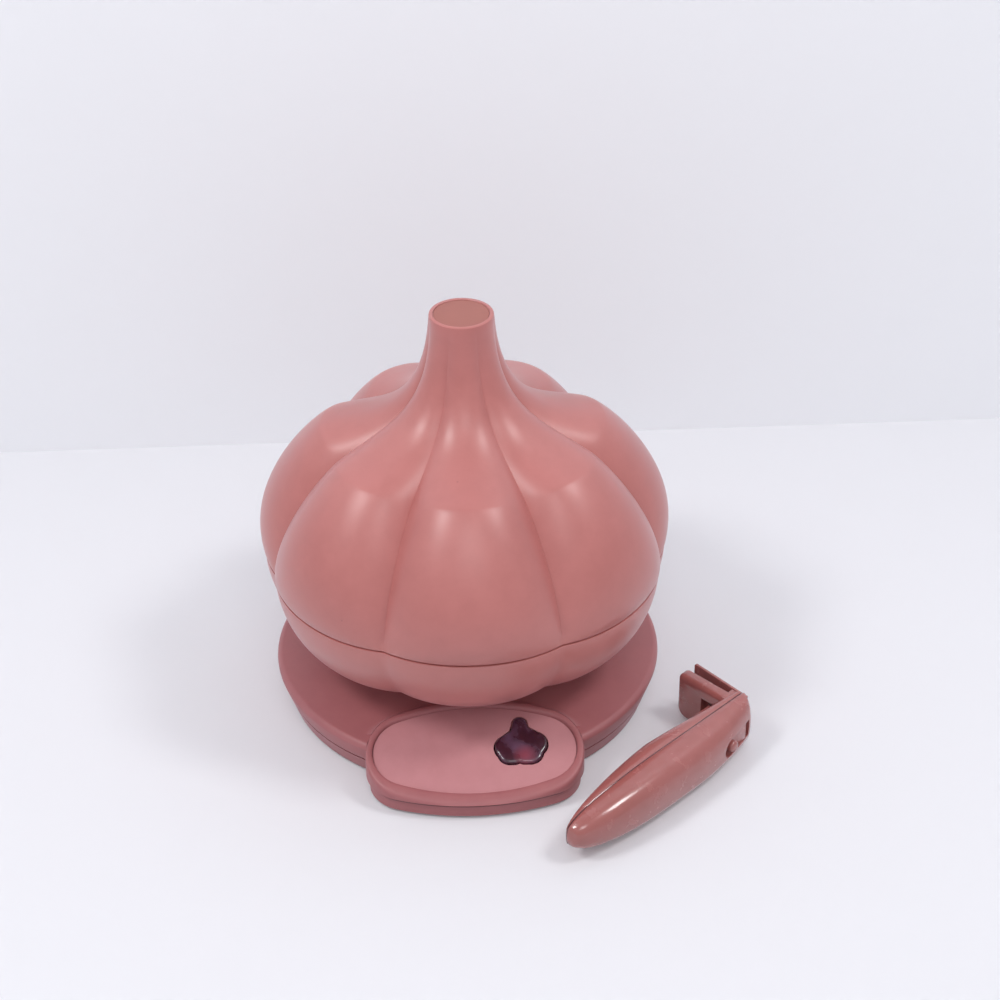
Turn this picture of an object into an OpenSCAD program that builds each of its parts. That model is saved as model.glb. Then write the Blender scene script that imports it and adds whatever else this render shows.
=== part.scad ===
// Electric garlic roaster shaped like a bulb of garlic, with its clip-on pan handle lying beside it.
// Millimetres, Z up. The origin is on the table, on the bulb's axis. The control pod faces -Y.

/* [Bulb] */
// Number of lobes round the bulb
lobes = 7; // [5:1:9]
// Radius over a lobe's crest where the lid meets the bowl
crest_r = 92; // [90:0.1:95]
// Radius in the groove between two lobes at the same place
groove_r = 88.6; // [87:0.1:90]
// Height of the join between lid and bowl above the table
seam_z = 75; // [73:0.5:80]
// Height of the lid, from the join to the top of the stem
lid_h = 120; // [110:1:130]
// Radius of the stem at its top
stem_r = 14.1; // [13:0.1:15]
// Wall of the lid and of the bowl
bulb_wall = 2.6; // [2:0.1:3.2]
// How sharply the lobes meet: 2 is a soft groove, larger is sharper
lobe_power = 2.4; // [2:0.1:4]
// Open line left between the lid and the bowl outside
seam_gap = 0.7; // [0.3:0.1:1]
// Radius of the round neck that the bowl stands on
neck_r = 50; // [48:0.5:52]

/* [Stem cap] */
// Radius of the disc set into the stem's top
cap_r = 12; // [11:0.1:12.4]
// Thickness of the disc
cap_t = 2.2; // [1.5:0.1:3]

/* [Base] */
// Radius of the foot at the table
foot_r = 83.5; // [80:0.5:86]
// Outward slope of the base's wall, as run over rise
wall_flare = 0.335; // [0.25:0.005:0.4]
// Height of the join between base top and bottom cover
base_seam_z = 9; // [8:0.5:11]
// Height at which the base is widest
base_wide_z = 17.5; // [17:0.5:18.5]
// Height of the saucer's deck at its outer edge
deck_edge_z = 20.5; // [20:0.5:21]
// Height of the seat that carries the bowl
deck_z = 27; // [26:0.5:28]
// Wall of the base mouldings
base_wall = 2.4; // [2:0.1:3]
// Height of the rubber feet below the bottom cover
foot_gap = 1.5; // [1:0.1:2.5]
// Radius of the hole for the mains lead at the back
lead_hole_r = 3.5; // [3:0.1:4.5]

/* [Control pod] */
// Half the length of the pod's oval
pod_a = 48.5; // [46:0.5:51]
// Half the depth of the pod's oval
pod_b = 25; // [24:0.5:26]
// How far the pod's oval lies ahead of the panel's middle
pod_ahead = 1.5; // [0:0.5:2]
// Radius of the oval's ends
pod_end_r = 20; // [18:0.5:22]
// Distance of the panel's middle in front of the bulb's axis
pod_y = 78; // [77:0.5:79]
// Height of the panel's middle
panel_z = 17.4; // [17:0.1:18.5]
// Slope of the panel, down to the front
panel_tilt = 20.8; // [18:0.1:23]
// Rim left round the panel
pod_rim = 3.2; // [2.5:0.1:4]
// How far the rim stands above the panel
rim_h = 1.5; // [1:0.1:2]
// Thickness of the panel plate
panel_t = 1.5; // [1.2:0.1:2]

/* [Power button] */
// Distance of the button to the right of the pod's middle
button_x = 20.6; // [18.6:0.1:22]
// Size of the button's garlic outline, 1 is 24 mm wide
button_scale = 1; // [0.9:0.01:1.05]
// How far the button's face stands above the panel
button_proud = 1.5; // [1:0.1:2]
// Travel of the button
button_travel = 1.5; // [1:0.1:1.6]
// Clearance round the button
button_gap = 0.6; // [0.4:0.05:0.8]

/* [Heater] */
// Thickness of the heater plate
heater_t = 3.5; // [3:0.5:5]
// Height of the heater plate's top
heater_top_z = 51; // [50:0.5:53]
// Radius of the element's sheath
sheath_r = 3.2; // [2.8:0.1:3.6]

/* [Roasting pan] */
// Clear space round the pan, inside the bowl, where the handle's outer plate goes
pan_gap = 14; // [12:0.5:16]
// Depth of the pan
pan_h = 22; // [18:0.5:23]
// Sheet thickness of the pan
pan_t = 1.5; // [1:0.1:2]
// Radius of the rolled rim's bead
bead_r = 1.6; // [1.4:0.1:1.8]

/* [Handle] */
// Length of the grip
grip_l = 115.5; // [110:0.5:122]
// Width of the grip, which is its height as it lies on its side
grip_w = 26; // [24:0.5:28]
// Thickness of the grip's upper half
grip_up = 14.5; // [13.5:0.1:15.5]
// Thickness of the grip's lower half
grip_low = 12.6; // [12:0.1:13.5]
// Reach of the jaw plates beyond the parting plane
jaw_reach = 30.5; // [28:0.5:33]
// Open width of the jaw at its root
jaw_gap = 2.9; // [2.7:0.1:3.2]
// Thickness of the inner jaw plate
jaw_inner_t = 5.5; // [5:0.1:6]
// Thickness of the outer jaw plate
jaw_outer_t = 1.4; // [1.2:0.1:2]
// How far the outer jaw plate leans outwards, in degrees
jaw_splay = 4; // [3:0.5:6]
// Travel of the thumb latch
latch_travel = 3.5; // [2.5:0.5:3.5]
// Where the grip's tip lies, to the right of the bulb's axis
handle_x = 36.5; // [33:0.5:40]
// Where the grip's tip lies, in front of the bulb's axis
handle_y = 131.5; // [129:0.5:136]
// Direction in which the grip points, from the table's X axis
handle_turn = 42; // [39:1:44]

/* [Hidden] */
$fn = 96;
eps = 0.01;
sliding_gap = 0.3;
screw_gap = 0.12;
big = 300;

// Colours of the finished pieces
terracotta = [0.66, 0.41, 0.41];
dark_red = [0.33, 0.13, 0.18];
steel = [0.75, 0.76, 0.77];
cast_alloy = [0.62, 0.63, 0.64];
nonstick = [0.18, 0.18, 0.19];
black_plastic = [0.12, 0.12, 0.13];
board_green = [0.2, 0.4, 0.28];

// Lofting

// Segments of each lobe round the bulb
lobe_steps = 10;
around = lobes * lobe_steps;

// Point of a cubic curve with four control points
function cubic(p, t) = pow(1 - t, 3) * p[0] + 3 * pow(1 - t, 2) * t * p[1]
    + 3 * (1 - t) * t * t * p[2] + pow(t, 3) * p[3];
// Direction of the same curve
function slope(p, t) = 3 * pow(1 - t, 2) * (p[1] - p[0]) + 6 * (1 - t) * t * (p[2] - p[1])
    + 3 * t * t * (p[3] - p[2]);
// Point moved square to the curve, towards the bulb's inside
function inward(p, t, d) = let (s = slope(p, t)) cubic(p, t) + d * [-s[1], s[0]] / norm(s);
// Share of a lobe's full bulge at step j round the bulb, with a crest straight in front
function bulge(j) = 1 - pow(abs(((j + lobe_steps / 2) % lobe_steps) / (lobe_steps / 2) - 1), lobe_power);
// One ring of points between a groove point and a crest point, each [radius, height]
function ring(groove, crest) = [for (j = [0 : around - 1])
    let (p = groove + (crest - groove) * bulge(j), a = 360 * j / around - 90)
        [p[0] * cos(a), p[0] * sin(a), p[1]]];
// Closed solid through rings that follow the section of a wall all the way round
module loft(rings) {
    n = len(rings);
    m = len(rings[0]);
    polyhedron(
        points = [for (g = rings) each g],
        faces = [for (i = [0 : n - 1], j = [0 : m - 1])
            let (a = i * m + j, b = i * m + (j + 1) % m, c = ((i + 1) % n) * m + (j + 1) % m,
                d = ((i + 1) % n) * m + j)
            each [[a, c, b], [a, d, c]]],
        convexity = 6);
}

// Bulb

// The dome's section over the grooves and over the crests, then the stem's, from the join upwards
stem_top_z = seam_z + lid_h;
dome_groove = [[groove_r, seam_z], [groove_r - 2.1, seam_z + 17], [groove_r - 8.6, seam_z + 50.6],
    [groove_r - 14.6, seam_z + 51.8]];
stem_groove = [dome_groove[3], [groove_r - 41.6, seam_z + 57.2], [stem_r + 0.5, stem_top_z - 41],
    [stem_r, stem_top_z]];
dome_crest = [[crest_r, seam_z], [crest_r + 11, seam_z + 27.3], [crest_r - 24.3, seam_z + 60.6],
    [crest_r - 28.1, seam_z + 61.8]];
stem_crest = [dome_crest[3], [crest_r - 49.5, seam_z + 68.7], [stem_r + 2.7, stem_top_z - 48.5],
    [stem_r, stem_top_z]];
dome_steps = [0, 0.12, 0.24, 0.36, 0.48, 0.6, 0.72, 0.84];
stem_steps = [0, 0.12, 0.24, 0.36, 0.48, 0.6, 0.75, 0.9];
inner_steps = [0.2, 0.4, 0.6, 0.8];
cap_seat_z = stem_top_z - cap_t - 0.4;
cap_recess_r = cap_r + 0.15;
stem_bore_r = cap_r - 2.6;

function plain_ring(r, z) = ring([r, z], [r, z]);
function section_ring(g, c, t, d) = ring(inward(g, t, d), inward(c, t, d));

module lid() {
    low = [0, seam_gap];
    lip = bulb_wall * 0.55;
    color(terracotta) loft(concat(
        [ring(dome_groove[0] + low, dome_crest[0] + low)],
        [for (t = [for (s = dome_steps) if (s > 0) s]) section_ring(dome_groove, dome_crest, t, 0)],
        [for (t = stem_steps) section_ring(stem_groove, stem_crest, t, 0)],
        [plain_ring(stem_r, stem_top_z - 0.6), plain_ring(stem_r - 0.6, stem_top_z)],
        [plain_ring(cap_recess_r, stem_top_z), plain_ring(cap_recess_r, cap_seat_z)],
        [plain_ring(stem_bore_r, cap_seat_z), plain_ring(stem_bore_r, cap_seat_z - 4)],
        [for (t = [0.7, 0.45, 0.2]) section_ring(stem_groove, stem_crest, t, bulb_wall)],
        [for (i = [3 : -1 : 0]) section_ring(dome_groove, dome_crest, inner_steps[i], bulb_wall)],
        [ring(dome_groove[0] + [-bulb_wall, 3], dome_crest[0] + [-bulb_wall, 3])],
        [ring(dome_groove[0] + [-bulb_wall, 0], dome_crest[0] + [-bulb_wall, 0])],
        [ring(dome_groove[0] + [-lip, 0], dome_crest[0] + [-lip, 0])],
        [ring(dome_groove[0] + [-lip, seam_gap], dome_crest[0] + [-lip, seam_gap])]));
}

module stem_cap() {
    color(terracotta) translate([0, 0, cap_seat_z]) {
        cylinder(r = cap_r, h = cap_t);
        translate([0, 0, -2.5]) difference() {
            cylinder(r = stem_bore_r - 0.2, h = 2.5 + eps);
            translate([0, 0, -eps]) cylinder(r = stem_bore_r - 2, h = 2.5);
        }
    }
}

// The bowl's section curls in under the lobes to a plain round neck that stands on the deck
bowl_groove = [[neck_r, deck_z + 5], [neck_r + 20, deck_z + 6.5], [groove_r - 1, seam_z - 22],
    [groove_r, seam_z]];
bowl_crest = [[neck_r, deck_z + 5], [neck_r + 25, deck_z + 5.5], [crest_r - 1, seam_z - 24],
    [crest_r, seam_z]];
bowl_floor_t = 2.5;
bowl_floor_z = deck_z + bowl_floor_t;
bowl_hole_r = 30;
boss_r = 3.6;
boss_circle_r = neck_r - 8;
boss_top_z = deck_z + 11;
boss_bore_r = 1.6;
heater_angles = [30, 150, 270];
bowl_angles = [90, 210, 330];

module at_bosses(angles) {
    for (a = angles) rotate([0, 0, a]) translate([boss_circle_r, 0, 0]) children();
}

module bowl() {
    color(terracotta) difference() {
        union() {
            loft(concat(
                [plain_ring(neck_r, deck_z), plain_ring(neck_r, deck_z + 4)],
                [for (t = [0.08, 0.25, 0.42, 0.6, 0.8, 1]) section_ring(bowl_groove, bowl_crest, t, 0)],
                [ring(bowl_groove[3] - [bulb_wall, 0], bowl_crest[3] - [bulb_wall, 0])],
                [for (t = [0.8, 0.55, 0.3]) section_ring(bowl_groove, bowl_crest, t, bulb_wall)],
                [plain_ring(neck_r - bulb_wall, bowl_floor_z + 4),
                    plain_ring(neck_r - bulb_wall, bowl_floor_z)],
                [plain_ring(bowl_hole_r, bowl_floor_z), plain_ring(bowl_hole_r, deck_z)]));
            at_bosses(concat(heater_angles, bowl_angles))
                translate([0, 0, bowl_floor_z - 0.5])
                    cylinder(r = boss_r, h = boss_top_z - bowl_floor_z + 0.5);
        }
        at_bosses(bowl_angles) translate([0, 0, deck_z - eps]) cylinder(r = boss_bore_r, h = 9);
        at_bosses(heater_angles) {
            translate([0, 0, deck_z - eps]) cylinder(r = 2, h = 20);
            translate([0, 0, deck_z - eps]) cylinder(r = 3.3, h = 2.2);
        }
    }
}

// Heating

heater_r = neck_r + 12;
element_r = heater_r - 12;
shield_t = 0.8;
shield_rim_h = 7;
shield_top_z = boss_top_z + shield_t;
heater_under_z = heater_top_z - heater_t;
element_z = heater_under_z - sheath_r + 1.2;
leg_r = 3.6;

module heat_shield() {
    dish_r = heater_r - 3;
    color(steel) difference() {
        union() {
            translate([0, 0, boss_top_z]) cylinder(r = dish_r, h = shield_t);
            translate([0, 0, boss_top_z]) difference() {
                cylinder(r = dish_r, h = shield_rim_h);
                translate([0, 0, -eps]) cylinder(r = dish_r - shield_t, h = shield_rim_h + 1);
            }
        }
        at_bosses(heater_angles) translate([0, 0, boss_top_z - eps]) cylinder(r = 2, h = 2);
        translate([0, 0, boss_top_z - eps]) cylinder(r = 12, h = 2);
        for (s = [-1, 1]) rotate([0, 0, 90 + s * element_gap]) translate([element_r, 0, boss_top_z - eps])
            cylinder(r = sheath_r + 1, h = 2);
    }
}

// Half the opening of the horseshoe, in degrees, and how far its cold ends reach down
element_gap = 24;
cold_end = 9;
tab_l = 12;

module heating_element() {
    color(steel) {
        translate([0, 0, element_z]) rotate([0, 0, 90 + element_gap])
            rotate_extrude(angle = 360 - 2 * element_gap) translate([element_r, 0])
                circle(r = sheath_r, $fn = 48);
        for (s = [-1, 1]) rotate([0, 0, 90 + s * element_gap]) translate([element_r, 0, element_z]) {
            translate([0, 0, -cold_end]) cylinder(r = sheath_r + 0.4, h = cold_end + 1.5, $fn = 48);
            translate([-tab_l, -1.5, 0.4 - cold_end]) cube([tab_l, 3, 0.8]);
        }
    }
}

module heater_plate() {
    color(cast_alloy) difference() {
        union() {
            translate([0, 0, heater_under_z]) cylinder(r = heater_r, h = heater_t);
            at_bosses(heater_angles) translate([0, 0, shield_top_z])
                cylinder(r = leg_r, h = heater_under_z - shield_top_z + 1);
        }
        translate([0, 0, element_z]) rotate_extrude() translate([element_r, 0])
            circle(r = sheath_r + 0.05, $fn = 48);
        at_bosses(heater_angles) translate([0, 0, shield_top_z - eps]) cylinder(r = boss_bore_r, h = 8);
        for (s = [-1, 1]) translate([s * stat_ear, 0, heater_under_z - eps]) cylinder(r = 1.3, h = 2.4);
        translate([0, fuse_y + fuse_screw, heater_under_z - eps]) cylinder(r = 1.3, h = 2.4);
    }
}

module heater_screws() {
    color(steel) at_bosses(heater_angles) {
        translate([0, 0, deck_z + 0.3]) cylinder(r = 3, h = 1.8);
        translate([0, 0, deck_z + 1])
            cylinder(r = boss_bore_r - screw_gap, h = shield_top_z + 7 - deck_z - 1);
    }
}

// Disc thermostat with two ears, held up against the plate
stat_r = 8.5;
stat_ear = 12;

module thermostat() {
    color(black_plastic) difference() {
        union() {
            translate([0, 0, heater_under_z - 5.5]) cylinder(r = stat_r, h = 5.5);
            for (s = [-1, 1]) translate([s * stat_ear, 0, heater_under_z - 1]) cylinder(r = 3, h = 1);
            translate([-stat_ear, -3, heater_under_z - 1]) cube([2 * stat_ear, 6, 1]);
            for (s = [-1, 1]) translate([s * 4 - 1.5, -0.4, heater_under_z - 11]) cube([3, 0.8, 6]);
        }
        for (s = [-1, 1]) translate([s * stat_ear, 0, heater_under_z - 2]) cylinder(r = 1.4, h = 3);
    }
}

module thermostat_screws() {
    color(steel) for (s = [-1, 1]) translate([s * stat_ear, 0, heater_under_z]) {
        translate([0, 0, -2.4]) cylinder(r = 2.4, h = 1.4);
        translate([0, 0, -2]) cylinder(r = 1.2, h = 4);
    }
}

// Round fuse under a strap
fuse_y = 24;
fuse_r = 2;
fuse_screw = 7;

module thermal_fuse() {
    color(steel) translate([0, fuse_y, heater_under_z - fuse_r]) rotate([0, 90, 0]) {
        translate([0, 0, -6]) cylinder(r = fuse_r, h = 12);
        for (s = [-1, 1]) translate([0, 0, s > 0 ? 5.5 : -11.5]) cylinder(r = 0.5, h = 6);
    }
}

module fuse_clip() {
    strap = 0.8;
    color(steel) difference() {
        union() {
            translate([-3, fuse_y, heater_under_z - fuse_r]) rotate([0, 90, 0])
                cylinder(r = fuse_r + strap, h = 6);
            translate([-3, fuse_y, heater_under_z - strap]) cube([6, fuse_screw + 3, strap]);
            translate([0, fuse_y + fuse_screw, heater_under_z - strap - 1.3]) cylinder(r = 2.2, h = 1.4);
            translate([0, fuse_y + fuse_screw, heater_under_z - strap]) cylinder(r = 1.2, h = strap + 2);
        }
        translate([-4, fuse_y, heater_under_z - fuse_r]) rotate([0, 90, 0])
            cylinder(r = fuse_r + 0.02, h = 8);
        translate([-4, fuse_y - 5, heater_under_z]) cube([8, 9, 4]);
    }
}

pan_r = groove_r - bulb_wall - pan_gap;

module roasting_pan() {
    corner = 5;
    color(nonstick) translate([0, 0, heater_top_z]) rotate_extrude($fn = 128) {
        square([pan_r - corner, pan_t]);
        // Quarter ring of the rounded corner
        difference() {
            translate([pan_r - corner, corner]) circle(r = corner, $fn = 64);
            translate([pan_r - corner, corner]) circle(r = corner - pan_t, $fn = 64);
            translate([pan_r - 3 * corner, -1]) square([2 * corner, 4 * corner]);
            translate([pan_r - 3 * corner, corner]) square([4 * corner, 4 * corner]);
        }
        translate([pan_r - pan_t, corner]) square([pan_t, pan_h - corner - bead_r]);
        translate([pan_r - pan_t / 2, pan_h - bead_r]) circle(r = bead_r, $fn = 32);
    }
}

// Base

wide_r = foot_r + wall_flare * base_wide_z;
edge_r = deck_edge_z - base_wide_z;
cover_z = foot_gap;
cover_floor_z = cover_z + base_wall;
cover_screw_places = [[68, 0], [-68, 0], [0, 72], [0, -92]];
foot_places = [[46, 50], [-46, 50], [37, -84], [-37, -84]];
rubber_r = 7;
cover_boss_r = 3.8;

// Radius of the slanting wall at a height
function wall_r(z) = foot_r + wall_flare * z;

// Centre and radius of the oval's long arcs, from its half sizes and end radius
function long_arc_r(a, b, r) = (pow(a - r, 2) + b * b - r * r) / (2 * (b - r));

// Oval of four round arcs, grown by d
module oval(a, b, r, d = 0) {
    long_r = long_arc_r(a, b, r);
    far = long_r - b;
    reach = 3;
    union() {
        for (s = [-1, 1]) intersection() {
            translate([0, -s * far]) circle(r = long_r + d, $fn = 240);
            polygon([[r - a, 0], [a - r, 0], [(a - r) * reach, s * far * (reach - 1)],
                [-(a - r) * reach, s * far * (reach - 1)]]);
        }
        for (s = [-1, 1]) translate([s * (a - r), 0]) circle(r = r + d, $fn = 96);
    }
}

// Frame of the sloping panel: its origin at the panel's middle, Z square to it
module on_panel() {
    translate([0, -pod_y, panel_z]) rotate([panel_tilt, 0, 0]) children();
}

panel_a = pod_a - pod_rim;
panel_b = pod_b - pod_rim;
panel_end_r = pod_end_r - pod_rim;
plate_gap = 0.2;
pod_floor_t = 1.6;

// Garlic outline of the button, grown by d: four round cloves, a notched foot and a stem
module garlic(d = 0) {
    scale(button_scale) {
        translate([-5.6, 0.7]) circle(r = 6.1 + d, $fn = 48);
        translate([5.4, 2.1]) circle(r = 6.2 + d, $fn = 48);
        translate([-5.2, -2.4]) circle(r = 5 + d, $fn = 48);
        translate([4, -2.1]) circle(r = 5.4 + d, $fn = 48);
        translate([-0.2, 12.5]) circle(r = 3.2 + d, $fn = 48);
        polygon([[-9.5, 5.4 + d], [-4.2 - d, 8.9 + d], [-3.4 - d, 12.5], [3 + d, 12.5], [3.4 + d, 10.3 + d],
            [8.2, 7.6 + d], [9, 0], [-9, 0]]);
        polygon([[-5.2, -7.4 - d], [-2.4, -7.4 - d], [-1.1, -6.8 - d], [0.4, -7.4 - d], [4, -7.5 - d],
            [4, 0], [-5.2, 0]]);
    }
}

// The pod's outer oval, grown by d
module pod_oval(d) {
    translate([0, -pod_y - pod_ahead]) oval(pod_a, pod_b, pod_end_r, d);
}

// Saucer from a height up: its slanting wall, rounded edge, rising deck and the bowl's seat
module base_shape(inset, from_z) {
    round_r = edge_r - inset / 2;
    middle = [wide_r - inset - round_r, deck_edge_z - inset - round_r];
    rotate_extrude($fn = 192) polygon(concat(
        [[0, from_z], [wall_r(from_z) - inset, from_z]],
        [for (a = [0 : 15 : 90]) middle + round_r * [cos(a), sin(a)]],
        [[neck_r + 14, deck_edge_z + 2.5 - inset], [neck_r + 7, deck_edge_z + 3.6 - inset]],
        [[neck_r + 2, deck_z - inset], [0, deck_z - inset]]));
}

// Everything over the pod's oval up to the panel's plane raised by top
module pod_shape(inset, top, from_z) {
    intersection() {
        translate([0, 0, from_z]) linear_extrude(height = 50) pod_oval(-inset);
        on_panel() translate([-big / 2, -big / 2, -big]) cube([big, big, big + top]);
    }
}

// Saucer and pod together as a solid form, with the saucer cut down to the pod's rim
module base_form(inset, top, from_z) {
    difference() {
        base_shape(inset, from_z);
        intersection() {
            linear_extrude(height = 60) pod_oval(-inset);
            on_panel() translate([-big / 2, -big / 2, top]) cube([big, big, big]);
        }
    }
    pod_shape(inset, top, from_z);
}

module base_top() {
    color(terracotta) difference() {
        union() {
            difference() {
                base_form(0, rim_h, base_seam_z);
                translate([0, 0, -eps]) base_form(base_wall, -panel_t - pod_floor_t, base_seam_z);
            }
            // Bosses for the cover's screws
            intersection() {
                for (p = cover_screw_places) translate([p[0], p[1], cover_floor_z])
                    cylinder(r = cover_boss_r, h = 30);
                base_form(1, -panel_t - 0.5, 0);
            }
            // Posts for the switch board
            for (s = [-1, 1]) on_panel() translate([button_x + s * board_post, 0, board_z])
                cylinder(r = 2.4, h = -panel_t - 0.5 - board_z);
        }
        // Recess for the panel plate, and the button's opening in its floor
        on_panel() translate([0, 0, -panel_t])
            linear_extrude(height = 20) oval(panel_a, panel_b, panel_end_r, 0);
        on_panel() translate([button_x, 0, -12]) linear_extrude(height = 20) garlic(button_gap + 0.3);
        // Opening under the bowl, and the holes for its screws
        translate([0, 0, deck_z - 10]) cylinder(r = bowl_hole_r, h = 20);
        at_bosses(bowl_angles) translate([0, 0, deck_z - 10]) cylinder(r = 1.8, h = 20);
        for (p = cover_screw_places) translate([p[0], p[1], 0])
            cylinder(r = boss_bore_r, h = cover_floor_z + 6);
        for (s = [-1, 1]) on_panel() translate([button_x + s * board_post, 0, board_z - eps])
            cylinder(r = 0.9, h = 4);
        // Hole for the mains lead
        translate([0, 60, base_seam_z + 5.2]) rotate([-90, 0, 0]) cylinder(r = lead_hole_r, h = 40);
    }
}

module panel_plate() {
    color(terracotta) on_panel() translate([0, 0, -panel_t]) linear_extrude(height = panel_t) difference() {
        oval(panel_a, panel_b, panel_end_r, -plate_gap);
        translate([button_x, 0]) garlic(button_gap);
    }
}

// The button's flange lies under the pod's floor; its pusher reaches into the switch
flange_t = 1;
flange_w = 1.6;
flange_top = -panel_t - pod_floor_t - sliding_gap;
pusher_r = 2;

module power_button() {
    color(dark_red) on_panel() translate([button_x, 0, 0]) {
        translate([0, 0, flange_top - flange_t])
            linear_extrude(height = button_proud - flange_top + flange_t) garlic(0);
        translate([0, 0, flange_top - flange_t]) linear_extrude(height = flange_t) garlic(flange_w);
        translate([0, 0, switch_top - 1]) cylinder(r = pusher_r, h = flange_top - switch_top + 0.5);
    }
}

switch_top = flange_top - flange_t - button_travel - sliding_gap;
switch_h = 3.8;
switch_w = 9;
board_t = 1.2;
board_z = switch_top - switch_h;
board_post = 17;
board_w = 39;
board_d = 12;

module push_switch() {
    color(black_plastic) on_panel() translate([button_x, 0, board_z]) difference() {
        translate([-switch_w / 2, -switch_w / 2, 0]) cube([switch_w, switch_w, switch_h]);
        translate([0, 0, 0.6]) cylinder(r = pusher_r + sliding_gap + 0.1, h = switch_h);
    }
}

module indicator_lamp() {
    color("orange") on_panel() translate([button_x - 7.5, 0, board_z]) {
        cylinder(r = 1.5, h = switch_h - 1.5, $fn = 48);
        translate([0, 0, switch_h - 1.5]) sphere(r = 1.5, $fn = 48);
    }
}

module switch_board() {
    color(board_green) on_panel() translate([button_x, 0, board_z - board_t]) difference() {
        translate([-board_w / 2, -board_d / 2, 0]) cube([board_w, board_d, board_t]);
        for (s = [-1, 1]) translate([s * board_post, 0, -1]) cylinder(r = 1.1, h = 4);
    }
}

module board_screws() {
    color(steel) for (s = [-1, 1]) on_panel() translate([button_x + s * board_post, 0, board_z - board_t]) {
        translate([0, 0, -1]) cylinder(r = 1.8, h = 1);
        translate([0, 0, -0.5]) cylinder(r = 0.8, h = board_t + 4);
    }
}

module bowl_screws() {
    head_z = deck_z - base_wall - 2 * eps;
    color(steel) at_bosses(bowl_angles) {
        translate([0, 0, head_z - 1.8]) cylinder(r = 3, h = 1.8);
        translate([0, 0, head_z - 1]) cylinder(r = boss_bore_r - screw_gap, h = base_wall + 9);
    }
}

block_size = [20, 11, 9];

module terminal_block() {
    color(black_plastic) translate([-block_size[0] / 2, neck_r + 4, cover_floor_z]) difference() {
        cube(block_size);
        for (x = [5, 15]) translate([x, block_size[1] / 2, block_size[2] / 2])
            cylinder(r = 1.8, h = block_size[2]);
    }
}

// How far the cover stands in from the pod's wall
pod_foot_in = 1.5;

module bottom_cover() {
    color(terracotta) difference() {
        union() {
            difference() {
                union() {
                    translate([0, 0, cover_z]) cylinder(r1 = wall_r(cover_z), r2 = wall_r(base_seam_z),
                        h = base_seam_z - cover_z, $fn = 192);
                    translate([0, 0, cover_z])
                        linear_extrude(height = base_seam_z - cover_z) pod_oval(-pod_foot_in);
                }
                translate([0, 0, cover_floor_z])
                    cylinder(r = wall_r(cover_floor_z) - base_wall, h = 20, $fn = 192);
                translate([0, 0, cover_floor_z])
                    linear_extrude(height = 20) pod_oval(-pod_foot_in - base_wall);
            }
        }
        for (p = cover_screw_places) translate([p[0], p[1], 0]) {
            cylinder(r = 1.8, h = 10);
            cylinder(r = 3.3, h = cover_z + 1.2);
        }
        for (p = foot_places) translate([p[0], p[1], 0]) cylinder(r = rubber_r + 0.1, h = cover_z + 1);
    }
}

module cover_screws() {
    color(steel) for (p = cover_screw_places) translate([p[0], p[1], cover_z]) {
        translate([0, 0, -0.2]) cylinder(r = 3, h = 1.4);
        cylinder(r = boss_bore_r - screw_gap, h = 7);
    }
}

module rubber_feet() {
    color(black_plastic) for (p = foot_places) translate([p[0], p[1], 0]) {
        cylinder(r1 = rubber_r - 0.8, r2 = rubber_r, h = cover_z);
        translate([0, 0, cover_z - eps]) cylinder(r = rubber_r, h = 1 + eps);
    }
}

// Handle, drawn lying on its side: X runs from the tip to the jaw, the parting plane is Y = 0 and the
// upper half lies on the -Y side
grip_mid_z = grip_w / 2;
jaw_out_x = grip_l - jaw_outer_t;
jaw_gap_x = jaw_out_x - jaw_gap;
jaw_in_x = jaw_gap_x - jaw_inner_t;
jaw_floor_y = 5;
recess_x = grip_l - 26.7;
recess_l = 21.5;
recess_w = 9;
// Distance of the recess's floor from the parting plane
recess_floor = 7;
latch_x = recess_x + latch_travel + sliding_gap;
strip_l = 14.6;
strip_t = 2;
knob_r = 2.7;
neck_x = latch_x + 3.4;
neck_l = 5;
neck_w = 4;
nose_y = 6;
nose_l = jaw_gap_x + 1.2 - neck_x;
nose_t = 3.7;
nose_w = 8;
channel_x = neck_x - latch_travel - sliding_gap - 0.1;
window_w = 11;
window_d = 10;
screw_xs = [26, 72];
screw_seat = 5;

module on_handle() {
    translate([handle_x, -handle_y, 0]) rotate([0, 0, handle_turn]) children();
}

grip_stations = [0, 0.8, 2.4, 5, 9, 15, 24, 36, 50, 66, 80, 92, 104, grip_l];
// Half the grip's width at a distance from the tip, which is broad and round
function grip_half_w(x) = grip_w / 2 * pow(sin(90 * min(1, (x + 0.3) / 58)), 0.3);
// Thickness of the upper half there, which slopes down to the jaw
function grip_up_at(x) = grip_up * pow(sin(90 * min(1, (x + 0.3) / 48)), 0.32)
    - pow(max(0, x - 70), 2) * 0.0036;
// Thickness of the lower half there, which thins towards the jaw
function grip_low_at(x) = 0.4 + (grip_low - 0.4) * pow(sin(90 * min(1, (x + 0.3) / 88)), 0.72)
    - max(0, x - 60) * 0.14;
// Half section of the grip: a full half oval on the parting plane
function half_section(x, thick, side) = [for (a = [0 : 15 : 180])
    [x, side * thick * pow(sin(a), 0.7),
        grip_mid_z - grip_half_w(x) * sign(cos(a)) * pow(abs(cos(a)), 0.8)]];

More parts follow.
